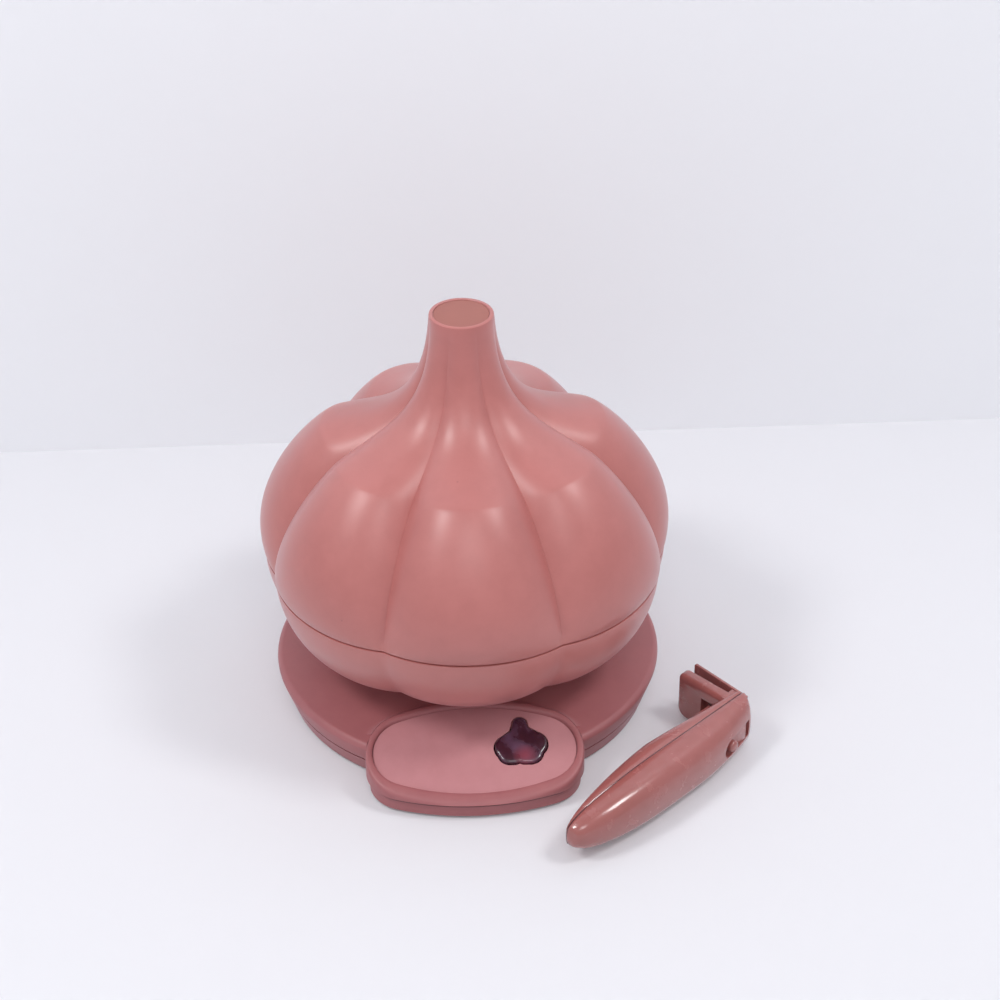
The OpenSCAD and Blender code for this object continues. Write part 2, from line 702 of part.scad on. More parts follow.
module half_grip(side) {
    rows = [for (x = grip_stations) half_section(x, side < 0 ? grip_up_at(x) : grip_low_at(x), side)];
    n = len(rows);
    m = len(rows[0]);
    skin = [for (i = [0 : n - 2], j = [0 : m - 1])
        let (a = i * m + j, b = i * m + (j + 1) % m, c = (i + 1) * m + (j + 1) % m, d = (i + 1) * m + j)
        each side < 0 ? [[a, b, c], [a, c, d]] : [[a, c, b], [a, d, c]]];
    first = [for (j = [0 : m - 1]) j];
    last = [for (j = [0 : m - 1]) (n - 1) * m + j];
    ends = side < 0 ? [[for (j = [m - 1 : -1 : 0]) first[j]], last]
        : [first, [for (j = [m - 1 : -1 : 0]) last[j]]];
    polyhedron(points = [for (r = rows) each r], faces = concat(skin, ends), convexity = 4);
}

// Plate of the jaw, standing from y0 to the jaw's reach, with the corners at its end cut round
module jaw_plate(x, t, y0, reach, low_r, high_r) {
    edge = 0.8;
    translate([x, 0, 0]) rotate([90, 0, 90]) linear_extrude(height = t) hull() {
        translate([y0, edge]) square([1, grip_w - 2 * edge]);
        translate([reach - low_r, edge + low_r]) circle(r = low_r);
        translate([reach - high_r, grip_w - edge - high_r]) circle(r = high_r);
    }
}

module grip_upper() {
    color(terracotta) on_handle() difference() {
        union() {
            half_grip(-1);
            // Outer jaw plate, which leans outwards
            translate([jaw_out_x, 0, 0])
                rotate([0, 0, -jaw_splay]) jaw_plate(0, jaw_outer_t, -3, jaw_reach - 1, 1, 1);
        }
        // Recess for the thumb latch with its round end, and the slot through its floor
        translate([recess_x + recess_w / 2, -grip_up - 5, grip_mid_z - recess_w / 2])
            cube([recess_l - recess_w / 2, grip_up + 5 - recess_floor, recess_w]);
        translate([recess_x + recess_w / 2, -recess_floor, grip_mid_z]) rotate([90, 0, 0])
            cylinder(r = recess_w / 2, h = grip_up + 5);
        translate([channel_x, -grip_up - 5, grip_mid_z - neck_w / 2 - sliding_gap])
            cube([neck_l + latch_travel + 2 * sliding_gap + 0.2, grip_up + 6, neck_w + 2 * sliding_gap]);
        for (x = screw_xs) translate([x, -9, grip_mid_z]) rotate([-90, 0, 0])
            cylinder(r = boss_bore_r, h = 10);
    }
}

module grip_lower() {
    guide_x = channel_x - 1.8;
    guide_w = nose_w + 5;
    color(terracotta) on_handle() difference() {
        union() {
            intersection() {
                half_grip(1);
                translate([0, -1, -1]) cube([jaw_out_x - 0.1, 50, grip_w + 2]);
            }
            // Block at the jaw's root, the inner jaw plate and the guide round the latch's nose
            translate([jaw_in_x, 0, 0.8]) cube([jaw_out_x - 0.1 - jaw_in_x, jaw_floor_y, grip_w - 1.6]);
            jaw_plate(jaw_in_x, jaw_inner_t, 1, jaw_reach, 6, 3);
            translate([guide_x, 1, grip_mid_z - guide_w / 2])
                cube([jaw_in_x + 1 - guide_x, nose_y + nose_t + 2 * sliding_gap + 0.6, guide_w]);
        }
        // Clear the jaw above its root
        translate([jaw_gap_x, jaw_floor_y, -1]) cube([20, 40, grip_w + 2]);
        // Channel for the latch, with the window through the inner jaw plate
        translate([channel_x, -1, grip_mid_z - nose_w / 2 - sliding_gap - 0.1])
            cube([jaw_in_x + 1 - channel_x, 1 + nose_y + nose_t + 2 * sliding_gap,
                nose_w + 2 * sliding_gap + 0.2]);
        translate([jaw_in_x - 0.5, nose_y, grip_mid_z - window_w / 2]) cube([20, window_d, window_w]);
        for (x = screw_xs) translate([x, 0, grip_mid_z]) rotate([-90, 0, 0]) {
            translate([0, 0, -1]) cylinder(r = 1.8, h = 30);
            translate([0, 0, screw_seat]) cylinder(r = 3.3, h = 30);
        }
    }
}

module latch_slide() {
    strip_y = -recess_floor - sliding_gap;
    strip_w = recess_w - 2 * sliding_gap - 0.1;
    color(terracotta) on_handle() {
        // Strip in the recess, with a round end, and its thumb knob
        translate([latch_x + strip_w / 2, strip_y - strip_t, grip_mid_z - strip_w / 2])
            cube([strip_l - strip_w / 2, strip_t, strip_w]);
        translate([latch_x + strip_w / 2, strip_y, grip_mid_z]) rotate([90, 0, 0])
            cylinder(r = strip_w / 2, h = strip_t);
        translate([latch_x + knob_r, strip_y - strip_t + eps, grip_mid_z]) rotate([90, 0, 0]) {
            cylinder(r = knob_r, h = 3.2);
            translate([0, 0, 3.2 - eps]) cylinder(r1 = knob_r, r2 = knob_r - 1, h = 1);
        }
        // Neck through the slot
        translate([neck_x, strip_y - eps, grip_mid_z - neck_w / 2])
            cube([neck_l, nose_y - strip_y + 1, neck_w]);
        // Nose that passes the window into the jaw
        translate([neck_x, nose_y + sliding_gap, grip_mid_z - nose_w / 2]) cube([nose_l, nose_t, nose_w]);
    }
}

module grip_screws() {
    head_t = 2;
    thread_l = 7;
    color(steel) on_handle() for (x = screw_xs) translate([x, 0, grip_mid_z]) rotate([-90, 0, 0]) {
        translate([0, 0, screw_seat]) cylinder(r = 3, h = head_t);
        translate([0, 0, -thread_l])
            cylinder(r = boss_bore_r - screw_gap, h = thread_l + screw_seat + head_t / 2);
    }
}

lid();
stem_cap();
bowl();
roasting_pan();
heater_plate();
heating_element();
heat_shield();
thermostat();
thermostat_screws();
thermal_fuse();
fuse_clip();
heater_screws();
base_top();
bowl_screws();
panel_plate();
power_button();
push_switch();
indicator_lamp();
switch_board();
board_screws();
terminal_block();
bottom_cover();
cover_screws();
rubber_feet();
grip_upper();
grip_lower();
latch_slide();
grip_screws();
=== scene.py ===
"""Electric garlic roaster shaped like a bulb of garlic, with its clip-on pan handle lying beside it.
Sizes are in millimetres and become metres where a mesh is made."""
import math

import bpy
from mathutils import Matrix, Vector


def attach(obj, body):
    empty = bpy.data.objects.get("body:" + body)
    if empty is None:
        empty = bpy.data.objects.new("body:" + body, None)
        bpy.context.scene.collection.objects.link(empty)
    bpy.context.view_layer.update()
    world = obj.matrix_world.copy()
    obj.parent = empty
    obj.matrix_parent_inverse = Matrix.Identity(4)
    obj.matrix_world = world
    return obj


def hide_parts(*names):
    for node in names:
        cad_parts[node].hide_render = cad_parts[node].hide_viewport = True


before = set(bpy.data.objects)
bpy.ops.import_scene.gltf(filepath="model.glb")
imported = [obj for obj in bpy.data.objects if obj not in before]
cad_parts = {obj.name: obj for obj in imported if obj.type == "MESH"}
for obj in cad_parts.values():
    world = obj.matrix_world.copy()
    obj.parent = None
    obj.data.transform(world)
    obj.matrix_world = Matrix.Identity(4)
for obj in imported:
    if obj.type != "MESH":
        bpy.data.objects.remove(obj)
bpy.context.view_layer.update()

# --- Camera, floor, wall and lamps ---
# The photograph looks down on the table at 34 degrees from a little over half a metre above it.
# A white table and a white wall behind it, lit by soft light from above.
MM = 0.001

camera = bpy.data.objects.new("camera", bpy.data.cameras.new("camera"))
bpy.context.scene.collection.objects.link(camera)
heading, pitch, roll = -2.70, 33.56, -0.54
camera.matrix_world = (Matrix.Translation((-0.0232, -0.8279, 0.6481))
                       @ Matrix.Rotation(math.radians(heading), 4, "Z")
                       @ Matrix.Rotation(math.radians(90 - pitch), 4, "X")
                       @ Matrix.Rotation(math.radians(roll), 4, "Z"))
camera.data.lens = 79.2
camera.data.sensor_width = 36
bpy.context.scene.camera = camera


def srgb(colour):
    """Linear colour, with alpha, of an sRGB hex value such as B4706C."""
    parts = [int(colour[i:i + 2], 16) / 255 for i in (0, 2, 4)]
    return [c / 12.92 if c <= 0.04045 else ((c + 0.055) / 1.055) ** 2.4 for c in parts] + [1]


def add(tree, kind, inputs=None, **settings):
    """Adds a node to a tree with its settings; each input is given a value or an output to link."""
    made = tree.nodes.new("ShaderNode" + kind)
    for name, value in settings.items():
        setattr(made, name, value)
    for name, value in (inputs or {}).items():
        if isinstance(value, bpy.types.NodeSocket):
            tree.links.new(value, made.inputs[name])
        else:
            made.inputs[name].default_value = value
    return made


def new_material(name):
    """An empty material with its output; returns the material and its node tree."""
    made = bpy.data.materials.new(name)
    made.use_nodes = True
    made.node_tree.nodes.clear()
    return made, made.node_tree


def plain_paint(name, colour, glow, one_sided=False):
    """Matt white paint that shows a little brighter to the camera and in gloss, and keeps its shadow.
    A one-sided wall is clear to a camera behind it, so that the roaster can be seen from its back."""
    made, tree = new_material(name)
    path = add(tree, "LightPath")
    seen = add(tree, "Math", {0: path.outputs["Is Camera Ray"], 1: path.outputs["Is Glossy Ray"]},
               operation="MAXIMUM")
    strength = add(tree, "Math", {0: seen.outputs[0], 1: glow}, operation="MULTIPLY")
    paint = add(tree, "BsdfPrincipled", {"Base Color": srgb(colour), "Roughness": 0.8, "Specular IOR Level": 0.1,
                                         "Emission Color": srgb(colour), "Emission Strength": strength.outputs[0]})
    surface = paint.outputs[0]
    if one_sided:
        behind = add(tree, "NewGeometry").outputs["Backfacing"]
        clear = add(tree, "MixShader", {"Fac": behind, 1: surface, 2: add(tree, "BsdfTransparent").outputs[0]})
        surface = clear.outputs[0]
    add(tree, "OutputMaterial", {"Surface": surface})
    return made


wall_y = 213
bpy.ops.mesh.primitive_plane_add(size=6, location=(0, wall_y * MM - 3, 0))
floor = bpy.context.object
floor.name = "table_top"
floor.data.materials.append(plain_paint("white table top", "DADADE", 0.12))
bpy.ops.mesh.primitive_plane_add(size=6, location=(0, wall_y * MM, 3), rotation=(math.radians(90), 0, 0))
wall = bpy.context.object
wall.name = "back_wall"
wall.data.materials.append(plain_paint("white wall paint", "E7E8EC", 0.12, one_sided=True))

world = bpy.data.worlds.new("room")
bpy.context.scene.world = world
world.use_nodes = True
world.node_tree.nodes.clear()
sky = add(world.node_tree, "Background", {"Color": srgb("F2F2F8"), "Strength": 0.62})
add(world.node_tree, "OutputWorld", {"Surface": sky.outputs[0]})


def soft_lamp(name, place, size, power, aim=(0, 0, 0.08)):
    """A square soft lamp at a place, aimed at the bulb."""
    lamp = bpy.data.objects.new(name, bpy.data.lights.new(name, "AREA"))
    bpy.context.scene.collection.objects.link(lamp)
    lamp.data.shape = "SQUARE"
    lamp.data.size = size
    lamp.data.energy = power
    lamp.location = place
    lamp.rotation_euler = (Vector(aim) - Vector(place)).to_track_quat("-Z", "Y").to_euler()
    return lamp


soft_lamp("lamp_left", (-0.75, -0.35, 1.15), 0.3, 5.6)
soft_lamp("lamp_right", (0.75, -0.25, 1.2), 0.3, 4.8)
soft_lamp("lamp_front", (0.05, -1.1, 1.3), 0.5, 3.2)

bpy.context.scene.view_settings.view_transform = "Standard"

# --- Rubber feet ---
# Four black moulded rubber feet set in shallow recesses under the base.


def deselect():
    for each in list(bpy.context.selected_objects):
        each.select_set(False)


def choose(piece):
    """Makes a piece the one selected object."""
    deselect()
    bpy.context.view_layer.objects.active = piece
    piece.select_set(True)


def apply_modifier(piece, kind, **settings):
    """Adds a modifier with its settings and applies it."""
    choose(piece)
    modifier = piece.modifiers.new(kind.title(), kind)
    for name, value in settings.items():
        setattr(modifier, name, value)
    bpy.ops.object.modifier_apply(modifier=modifier.name)


def dress_node(node, material):
    """Gives a CAD node its finished material in every slot."""
    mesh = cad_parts[node].data
    if not mesh.materials:
        mesh.materials.append(material)
    for i in range(len(mesh.materials)):
        mesh.materials[i] = material


def plain_finish(name, colour, roughness, metallic=0.0, grain_mm=0.6, grain_depth=0.02, mottle=0.12, ior=1.5):
    """A single finish with fine grain: its roughness and tone vary a little over the surface."""
    made, tree = new_material(name)
    place = add(tree, "TexCoord").outputs["Object"]
    grain = add(tree, "TexNoise", {"Vector": place, "Scale": 1000 / grain_mm, "Detail": 3.0})
    cloud = add(tree, "TexNoise", {"Vector": place, "Scale": 60.0, "Detail": 4.0})
    shade = add(tree, "MixRGB", {"Fac": cloud.outputs[0], "Color1": srgb(colour)}, blend_type="MULTIPLY")
    shade.inputs["Color2"].default_value = (1 - mottle, 1 - mottle, 1 - mottle, 1)
    rough = add(tree, "MapRange", {"Value": cloud.outputs[0], "To Min": roughness * 0.8, "To Max": roughness * 1.2})
    bump = add(tree, "Bump", {"Height": grain.outputs[0], "Distance": grain_depth * MM, "Strength": 0.6})
    skin = add(tree, "BsdfPrincipled", {"Base Color": shade.outputs[0], "Roughness": rough.outputs[0],
                                        "Metallic": metallic, "Normal": bump.outputs[0]})
    if not metallic:
        skin.inputs["IOR"].default_value = ior
    add(tree, "OutputMaterial", {"Surface": skin.outputs[0]})
    return made


rubber = plain_finish("moulded rubber", "1C1B1C", 0.75, grain_mm=0.4)
dress_node("rubber_feet", rubber)

# --- Bottom cover ---
# Injection-moulded polypropylene pan that closes the base from below, flush with its wall.
# Matte, with the even fine spark texture of the mould, and the colour of fired clay.
# The handle's place on the table is named here too, because its material draws the joint of its halves.
handle_x, handle_y, handle_turn = 36.5, 131.5, math.radians(42)


def clay_plastic(name, light, dark, roughness=0.46, grain_mm=0.35, grain_depth=0.012, coat=0.0, coat_roughness=0.12,
                 specks=0.25, seam_shadow=False, parting=False):
    """Moulded plastic in a clay pink: broad soft changes of tone, a spark-eroded grain and a few dark specks."""
    made, tree = new_material(name)
    place = add(tree, "TexCoord").outputs["Object"]
    broad = add(tree, "TexNoise", {"Vector": place, "Scale": 14.0, "Detail": 2.0, "Roughness": 0.5})
    mottle = add(tree, "TexNoise", {"Vector": place, "Scale": 120.0, "Detail": 5.0, "Roughness": 0.6})
    tone = add(tree, "Math", {0: broad.outputs[0], 1: mottle.outputs[0]}, operation="ADD")
    level = add(tree, "MapRange", {"Value": tone.outputs[0], "From Min": 0.75, "From Max": 1.25})
    shade = add(tree, "MixRGB", {"Fac": level.outputs[0], "Color1": srgb(dark), "Color2": srgb(light)})
    # Dust specks under a millimetre across, far apart
    cells = add(tree, "TexVoronoi", {"Vector": place, "Scale": 55.0})
    speck = add(tree, "MapRange", {"Value": cells.outputs["Distance"], "From Min": 0.012, "From Max": 0.03,
                                   "To Min": specks, "To Max": 0.0})
    spotted = add(tree, "MixRGB", {"Fac": speck.outputs[0], "Color1": shade.outputs[0], "Color2": srgb("5A3034")})
    toned = spotted.outputs[0]
    if seam_shadow:
        # Painted shadow: a dark line painted on the cover in the joint below the pod's front edge, where the pod's
        # overhang shades it
        apart = add(tree, "SeparateXYZ", {"Vector": place})
        top = add(tree, "MapRange", {"Value": apart.outputs["Z"], "From Min": 6.3 * MM, "From Max": 6.8 * MM})
        front = add(tree, "MapRange", {"Value": apart.outputs["Y"], "From Min": -80 * MM, "From Max": -86 * MM})
        line = add(tree, "Math", {0: top.outputs[0], 1: front.outputs[0]}, operation="MULTIPLY")
        toned = add(tree, "MixRGB", {"Fac": line.outputs[0], "Color1": toned, "Color2": srgb("4A2329")}).outputs[0]
    if parting:
        # The dark joint between the handle's two halves, which meet in an upright plane along it
        along_x, along_y = math.cos(handle_turn), math.sin(handle_turn)
        plane = (handle_x * along_y + handle_y * along_x) * MM
        off = add(tree, "VectorMath", {0: place, 1: (-along_y, along_x, 0)}, operation="DOT_PRODUCT")
        away = add(tree, "Math", {0: off.outputs["Value"], 1: plane}, operation="ADD")
        near = add(tree, "Math", {0: away.outputs[0]}, operation="ABSOLUTE")
        line = add(tree, "MapRange", {"Value": near.outputs[0], "From Min": 0.2 * MM, "From Max": 0.4 * MM,
                                      "To Min": 0.85, "To Max": 0.0})
        toned = add(tree, "MixRGB", {"Fac": line.outputs[0], "Color1": toned, "Color2": srgb("4A2329")}).outputs[0]
    grain = add(tree, "TexNoise", {"Vector": place, "Scale": 1000 / grain_mm, "Detail": 2.0})
    rough = add(tree, "MapRange", {"Value": mottle.outputs[0], "From Min": 0.3, "From Max": 0.7,
                                   "To Min": roughness - 0.05, "To Max": roughness + 0.06})
    bump = add(tree, "Bump", {"Height": grain.outputs[0], "Distance": grain_depth * MM, "Strength": 0.5})
    skin = add(tree, "BsdfPrincipled", {"Base Color": toned, "Roughness": rough.outputs[0], "IOR": 1.49,
                                        "Sheen Weight": 0.12, "Sheen Roughness": 0.4, "Sheen Tint": srgb("D9C3DA"),
                                        "Coat Weight": coat, "Coat Roughness": coat_roughness,
                                        "Normal": bump.outputs[0]})
    add(tree, "OutputMaterial", {"Surface": skin.outputs[0]})
    return made


clay = clay_plastic("matte moulded polypropylene", "BA6F6A", "B36964", roughness=0.42, coat=0.7, coat_roughness=0.38)
# Painted shade: the base and the cover take a darker copy of the lid's clay, so that the lower parts show darker than
# the lid.
shaded_base_clay = clay_plastic("matte base plastic with painted shade", "A86769", "A16164", roughness=0.45)
# The cover's material also paints a dark shadow line in the joint below the pod's front edge.
shaded_cover_clay = clay_plastic("matte cover plastic with painted shade", "A86769", "A16164", roughness=0.45, seam_shadow=True)
dress_node("bottom_cover", shaded_cover_clay)

# --- Base top and control pod ---
# Polypropylene moulding: a round saucer with a slanting wall, and an oval pod with a beaded rim at its front.
# The pod's top slopes down to the front and is sunk for the panel.
foot_r, wall_flare, base_seam_z, base_wide_z, deck_edge_z, deck_z = 83.5, 0.335, 9, 17.5, 20.5, 27
neck_r, base_wall = 50, 2.4
pod_a, pod_b, pod_end_r, pod_ahead, pod_y, panel_z, panel_tilt = 48.5, 25, 20, 1.5, 78, 17.4, math.radians(20.8)
pod_rim, rim_h, panel_t, pod_floor_t = 3.2, 1.5, 1.5, 1.6


def oval_points(a, b, r, grow):
    """Points round an oval of four arcs with half sizes a and b and end radius r, grown square to itself."""
    long_r = ((a - r) ** 2 + b * b - r * r) / (2 * (b - r))
    far = long_r - b
    turn = math.atan2(far, a - r)
    quarter = [turn * i / 16 for i in range(16)] + [turn + (math.pi / 2 - turn) * i / 20 for i in range(20)]
    points = []
    for k in range(4):
        for angle in (quarter if k % 2 == 0 else [math.pi / 2] + quarter[:0:-1]):
            x, y = (a - r, 0) if angle < turn else (0, -far)
            reach = r + grow if angle < turn else long_r + grow
            px, py = x + reach * math.cos(angle), y + reach * math.sin(angle)
            sx, sy = ((1, 1), (-1, 1), (-1, -1), (1, -1))[k]
            points.append((px * sx, py * sy))
    return points


def rim_height(y, raised):
    """Height of the sloping panel's plane at a distance y from the axis, raised square to the plane."""
    return panel_z + (y + pod_y) * math.tan(panel_tilt) + raised / math.cos(panel_tilt)


def mesh_piece(name, points, faces):
    """A new piece from points in millimetres and faces, with its doubles merged and its faces turned outwards."""
    mesh = bpy.data.meshes.new(name)
    mesh.from_pydata([[c * MM for c in p] for p in points], [], faces)
    piece = bpy.data.objects.new(name, mesh)
    bpy.context.scene.collection.objects.link(piece)
    choose(piece)
    bpy.ops.object.mode_set(mode="EDIT")
    bpy.ops.mesh.select_all(action="SELECT")
    bpy.ops.mesh.remove_doubles(threshold=0.002 * MM)
    bpy.ops.mesh.normals_make_consistent(inside=False)
    bpy.ops.object.mode_set(mode="OBJECT")
    return piece


def loft(name, rings, closed=False):
    """A solid through rings of points; open ends are capped, and closed rings run back to the first."""
    n, m = len(rings), len(rings[0])
    faces = [[i * m + j, i * m + (j + 1) % m, (i + 1) % n * m + (j + 1) % m, (i + 1) % n * m + j]
             for i in range(n if closed else n - 1) for j in range(m)]
    if not closed:
        faces += [list(range(m)), list(range((n - 1) * m, n * m))]
    return mesh_piece(name, [p for ring in rings for p in ring], faces)


def spin_section(name, section, steps):
    """A turned solid from a closed section of [radius, height] points."""
    bpy.ops.mesh.primitive_circle_add(vertices=len(section), radius=1)
    piece = bpy.context.object
    piece.name = name
    for vertex, (r, z) in zip(piece.data.vertices, section):
        vertex.co = (r * MM, 0, z * MM)
    bpy.ops.object.mode_set(mode="EDIT")
    bpy.ops.mesh.select_all(action="SELECT")
    bpy.ops.mesh.spin(steps=steps, angle=2 * math.pi, center=(0, 0, 0), axis=(0, 0, 1))
    bpy.ops.mesh.select_all(action="SELECT")
    bpy.ops.mesh.remove_doubles(threshold=0.002 * MM)
    bpy.ops.mesh.delete_loose()
    bpy.ops.mesh.select_all(action="SELECT")
    bpy.ops.mesh.normals_make_consistent(inside=False)
    bpy.ops.object.mode_set(mode="OBJECT")
    return piece


def combine(piece, other, operation):
    """Joins another solid to a piece, or cuts it out, and removes the other."""
    apply_modifier(piece, "BOOLEAN", object=other, operation=operation, solver="EXACT")
    bpy.data.objects.remove(other)


def drum(r, z0, z1, x=0, y=0, steps=48):
    """A round cutter or boss between two heights."""
    bpy.ops.mesh.primitive_cylinder_add(vertices=steps, radius=r * MM, depth=(z1 - z0) * MM,
                                        location=(x * MM, y * MM, (z0 + z1) / 2 * MM))
    piece = bpy.context.object
    settle(piece)
    return piece


def settle(piece):
    """Applies a piece's place to its mesh."""
    choose(piece)
    bpy.ops.object.transform_apply(location=True, rotation=True, scale=True)


def smooth(piece, angle=35):
    choose(piece)
    bpy.ops.object.shade_smooth_by_angle(angle=math.radians(angle))


def mount(piece, material, body, slot, *nodes):
    """Gives a finished piece its material and its body, and hides the CAD nodes that it stands for; slot is not used.
    """
    piece.data.materials.clear()
    piece.data.materials.append(material)
    for face in piece.data.polygons:
        face.material_index = 0
    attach(piece, body)
    if nodes:
        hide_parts(*nodes)


def saucer_section(inset, from_z):
    """Half section of the saucer down to a height, drawn in by an inset."""
    round_r = deck_edge_z - base_wide_z - inset / 2
    cx = foot_r + wall_flare * base_wide_z - inset - round_r
    cz = deck_edge_z - inset - round_r
    edge = [(cx + round_r * math.cos(math.radians(a)), cz + round_r * math.sin(math.radians(a)))
            for a in range(0, 91, 9)]
    return ([(0, from_z), (foot_r + wall_flare * from_z - inset, from_z)] + edge
            + [(neck_r + 14, deck_edge_z + 2.5 - inset), (neck_r + 7, deck_edge_z + 3.6 - inset),
               (neck_r + 2, deck_z - inset), (0, deck_z - inset)])


def pod_rings(inset, top, from_z):
    """Rings of a plain oval block up to the sloping plane."""
    outline = [(x, y - pod_y - pod_ahead) for x, y in oval_points(pod_a, pod_b, pod_end_r, -inset)]
    return [[(x, y, from_z) for x, y in outline], [(x, y, rim_height(y, top)) for x, y in outline]]


def on_panel(x, y, z):
    """A point of the sloping panel's own frame, in the object's frame."""
    c, s = math.cos(panel_tilt), math.sin(panel_tilt)
    return (x, y * c - z * s - pod_y, panel_z + y * s + z * c)


base = spin_section("base_shell", saucer_section(0, base_seam_z + 0.9), 192)
above = [(x, y - pod_y - pod_ahead) for x, y in oval_points(pod_a, pod_b, pod_end_r, -0.02)]
combine(base, loft("over_pod", [[(x, y, rim_height(y, -panel_t - 0.4)) for x, y in above],
                                [(x, y, 60) for x, y in above]]),
        "DIFFERENCE")

# The pod, with its rim rounded into a bead and the panel's recess inside it
outer = [(x, y - pod_y - pod_ahead) for x, y in oval_points(pod_a, pod_b, pod_end_r, 0)]
inner = [on_panel(x, y, 0)[:2] for x, y in oval_points(pod_a - pod_rim, pod_b - pod_rim, pod_end_r - pod_rim, 0)]
skirt_z = 8.3
bead = [(0, -2.2), (0.01, -1.3), (0.05, -0.7), (0.13, -0.3), (0.25, -0.08), (0.4, 0), (0.65, 0), (0.82, -0.1),
        (0.93, -0.35), (0.99, -0.8), (1, -rim_h - panel_t)]
rings = [[(x, y, skirt_z) for x, y in outer]]
for share, drop in bead:
    ring = []
    for (ox, oy), (ix, iy) in zip(outer, inner):
        x, y = ox + (ix - ox) * share, oy + (iy - oy) * share
        ring.append((x, y, max(rim_height(y, rim_h + drop), skirt_z + 0.3 * share + 0.1)))
    rings.append(ring)
combine(base, loft("pod", rings), "UNION")

# Soft hollow between the pod's rim and the deck, round the pod's back and sides
cove_w = 4.6


def deck_height(x, y):
    """Height of the saucer's deck at a point."""
    r = math.hypot(x, y)
    marks = [(neck_r + 2, deck_z), (neck_r + 7, deck_edge_z + 3.6), (neck_r + 14, deck_edge_z + 2.5),
             (foot_r + wall_flare * base_wide_z - 3, deck_edge_z)]
    for (r0, z0), (r1, z1) in zip(marks, marks[1:]):
        if r < r1:
            return z0 + (z1 - z0) * max(0, r - r0) / (r1 - r0)
    return deck_edge_z


rings = []
wide = oval_points(pod_a, pod_b, pod_end_r, cove_w)
for (x, y), (wx, wy) in zip(outer, wide):
    wy -= pod_y + pod_ahead
    if y < -pod_y - 6 or math.hypot(wx, wy) > foot_r + 1.5:
        continue
    ring = [(x + (x - wx) / cove_w, y + (y - wy) / cove_w, deck_height(x, y) - 1.5)]
    for k in range(9):
        share = k / 8
        px, py = x + (wx - x) * share, y + (wy - y) * share
        rise = max(0.1, rim_height(y, rim_h - 0.5) - deck_height(x, y))
        ring.append((px, py, deck_height(px, py) + rise * (1 - share) ** 2.4 - 0.02))
    ring.append((wx, wy, deck_height(wx, wy) - 1.5))
    rings.append(ring)
start = max(range(len(rings)), key=lambda i: math.dist(rings[i][0], rings[i - 1][0]))
combine(base, loft("cove", rings[start:] + rings[:start]), "UNION")

hollow = spin_section("base_hollow", saucer_section(base_wall, base_seam_z - 1), 192)
combine(hollow, loft("pod_hollow", pod_rings(base_wall, -panel_t - pod_floor_t, base_seam_z - 1.5)), "UNION")
combine(base, hollow, "DIFFERENCE")
cover_edge = [(x, y - pod_y - pod_ahead) for x, y in oval_points(pod_a, pod_b, pod_end_r, -1.35)]
combine(base, loft("cover_edge", [[(x, y, 7) for x, y in cover_edge],
                                  [(x, y, base_seam_z + 0.12) for x, y in cover_edge]]),
        "DIFFERENCE")
combine(base, drum(30, 15, 40), "DIFFERENCE")
smooth(base)
mount(base, shaded_base_clay, "housing", "body_plastic", "base_top")

# --- Panel plate ---
# Thin moulded plate glued into the pod's recess, a little lighter and pinker than the base.
panel_plastic = clay_plastic("satin moulded panel", "C4878B", "BD8084", roughness=0.5, specks=0.35)
dress_node("panel_plate", panel_plastic)

# --- Push button ---
# Translucent dark plum acrylic, moulded as a small bulb of garlic, with a lamp behind its middle whose glow is
# painted into the colour.
# Polished, and scratched by use.
button_x, button_proud, flange_top = 20.6, 1.5, -3.4


def plum_acrylic():
    made, tree = new_material("polished plum acrylic")
    place = add(tree, "TexCoord").outputs["Object"]
    # Painted glow: the colour turns lighter and redder towards the middle, standing in for the lamp shining through.
    middle = on_panel(button_x + 1.5, -4, 0)
    near = add(tree, "VectorMath", {0: place, 1: [c * MM for c in middle]}, operation="DISTANCE")
    glow = add(tree, "MapRange", {"Value": near.outputs["Value"], "From Min": 0.5 * MM, "From Max": 6 * MM,
                                  "To Min": 1.0, "To Max": 0.0})
    haze = add(tree, "TexNoise", {"Vector": place, "Scale": 110.0, "Detail": 3.0, "Roughness": 0.5})
    hazed = add(tree, "MapRange", {"Value": haze.outputs[0], "From Min": 0.42, "From Max": 0.72, "To Max": 0.55})
    skin = add(tree, "MixRGB", {"Fac": hazed.outputs[0], "Color1": srgb("3A1626"), "Color2": srgb("7A5A78")})
    lit = add(tree, "MixRGB", {"Fac": glow.outputs[0], "Color1": skin.outputs[0], "Color2": srgb("8E3A4A")})
    rough = add(tree, "MapRange", {"Value": haze.outputs[0], "To Min": 0.1, "To Max": 0.45})
    surface = add(tree, "BsdfPrincipled", {"Base Color": lit.outputs[0], "Roughness": rough.outputs[0], "IOR": 1.49,
                                           "Coat Weight": 0.6, "Coat Roughness": 0.06,
                                           "Subsurface Weight": 0.1, "Subsurface Scale": 0.002})
    add(tree, "OutputMaterial", {"Surface": surface.outputs[0]})
    return made


acrylic = plum_acrylic()
cloves = [(-5.6, 0.7, 6.1), (5.4, 2.1, 6.2), (-5.2, -2.4, 5), (4, -2.1, 5.4), (-0.2, 12.5, 3.2)]
stem_and_shoulders = [(-9.5, 5.4), (-4.2, 8.9), (-3.4, 12.5), (3, 12.5), (3.4, 10.3), (8.2, 7.6), (9, 0), (-9, 0)]
notched_foot = [(-5.2, -7.4), (-2.4, -7.4), (-1.1, -6.8), (0.4, -7.4), (4, -7.5), (4, 0), (-5.2, 0)]


def inside_garlic(x, y):
    """True where a point lies in the button's outline of four cloves, a stem and a notched foot."""
    if any(math.dist((x, y), (cx, cy)) <= r for cx, cy, r in cloves):
        return True
    for shape in (stem_and_shoulders, notched_foot):
        crossed = False
        for (ax, ay), (bx, by) in zip(shape, shape[1:] + shape[:1]):
            if (ay > y) != (by > y) and x < ax + (y - ay) * (bx - ax) / (by - ay):
                crossed = not crossed
        if crossed:
            return True
    return False


